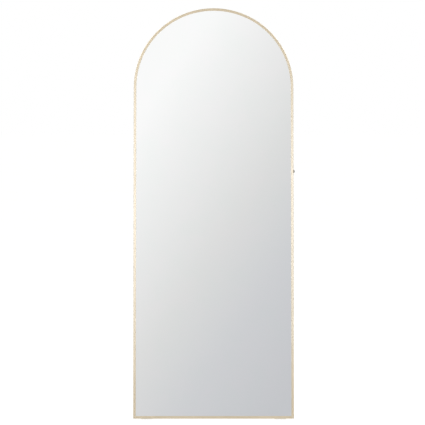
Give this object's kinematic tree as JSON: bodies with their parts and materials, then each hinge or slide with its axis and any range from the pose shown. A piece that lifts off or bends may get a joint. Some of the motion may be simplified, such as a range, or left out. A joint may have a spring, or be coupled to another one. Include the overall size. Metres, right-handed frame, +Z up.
{
  "type": "leaning floor mirror",
  "caption": "Tall arched floor mirror in a thin satin-gold metal channel frame, leaning back on a hinged U-shaped tubular rear stand, with swinging D-ring hangers.",
  "frame": {"origin": "on the floor, in the mirror's middle plane, halfway between the front of its bottom rail and the back of the stand's feet", "axes": "+X to the right as seen from the front, +Y from the mirror's face towards the stand, +Z up from the floor; the glass leans back 7 degrees from +Z"},
  "size_m": [0.7048, 0.2566, 1.7914],
  "materials": {
    "anodised_frame": "satin champagne-gold anodised",
    "stand_paint": "satin champagne-gold powder coat",
    "silvered_glass": "plain silvered float glass",
    "foam": "white closed-cell foam sheet",
    "hardboard": "brown hardboard",
    "clear_rubber": "pale translucent rubber",
    "black_rubber": "matt moulded",
    "black_plastic": "fine moulded grain",
    "nylon": "natural nylon",
    "zinc_plated_steel": "bright zinc plating",
    "cast_zinc": "as-cast zinc alloy",
    "mill_aluminium": "mill finish, drawn lines",
    "dark_steel": "dark bronze oxide"
  },
  "bodies": {
    "mirror": {"arch_frame": "anodised_frame", "bottom_rail": "anodised_frame", "corner_key_left": "cast_zinc", "corner_screw_left_side": "zinc_plated_steel", "corner_screw_left_rail": "zinc_plated_steel", "corner_key_right": "cast_zinc", "corner_screw_right_side": "zinc_plated_steel", "corner_screw_right_rail": "zinc_plated_steel", "mirror_glass": "silvered_glass", "foam_liner": "foam", "backing_board": "hardboard", "setting_block_left": "black_rubber", "setting_block_right": "black_rubber", "cross_brace": "mill_aluminium", "brace_screw_left": "zinc_plated_steel", "brace_screw_right": "zinc_plated_steel", "hanger_strap_left": "zinc_plated_steel", "hanger_screw_left": "zinc_plated_steel", "hanger_strap_right": "zinc_plated_steel", "hanger_screw_right": "zinc_plated_steel", "hinge_block_left": "cast_zinc", "hinge_bracket_left": "zinc_plated_steel", "pivot_bush_left": "nylon", "block_screw_left": "zinc_plated_steel", "bracket_screw_left_1": "zinc_plated_steel", "bracket_screw_left_2": "zinc_plated_steel", "pivot_screw_left": "zinc_plated_steel", "hinge_block_right": "cast_zinc", "hinge_bracket_right": "zinc_plated_steel", "pivot_bush_right": "nylon", "block_screw_right": "zinc_plated_steel", "bracket_screw_right_1": "zinc_plated_steel", "bracket_screw_right_2": "zinc_plated_steel", "pivot_screw_right": "dark_steel", "lock_nut_right": "zinc_plated_steel", "floor_pad_left": "clear_rubber", "floor_pad_right": "clear_rubber", "wall_bumper_left": "clear_rubber", "wall_bumper_right": "clear_rubber"},
    "stand": {"stand_tube": "stand_paint", "tube_plug_left": "black_plastic", "tube_plug_right": "black_plastic", "stand_foot_left": "black_rubber", "stand_foot_right": "black_rubber"},
    "ring_left": {"hanger_ring_left": "zinc_plated_steel"},
    "ring_right": {"hanger_ring_right": "zinc_plated_steel"}
  },
  "joints": [
    {"name": "stand_hinge", "type": "hinge", "parent": "mirror", "child": "stand", "pos_m": [0, 0.02494, 1.07617], "axis": [1, 0, 0], "range_deg": [-10.9, 0]},
    {"name": "ring_left_swing", "type": "hinge", "parent": "mirror", "child": "ring_left", "pos_m": [-0.22, 0.07225, 1.38269], "axis": [1, 0, 0], "range_deg": [-7, 165]},
    {"name": "ring_right_swing", "type": "hinge", "parent": "mirror", "child": "ring_right", "pos_m": [0.22, 0.07225, 1.38269], "axis": [1, 0, 0], "range_deg": [-7, 165]}
  ]
}
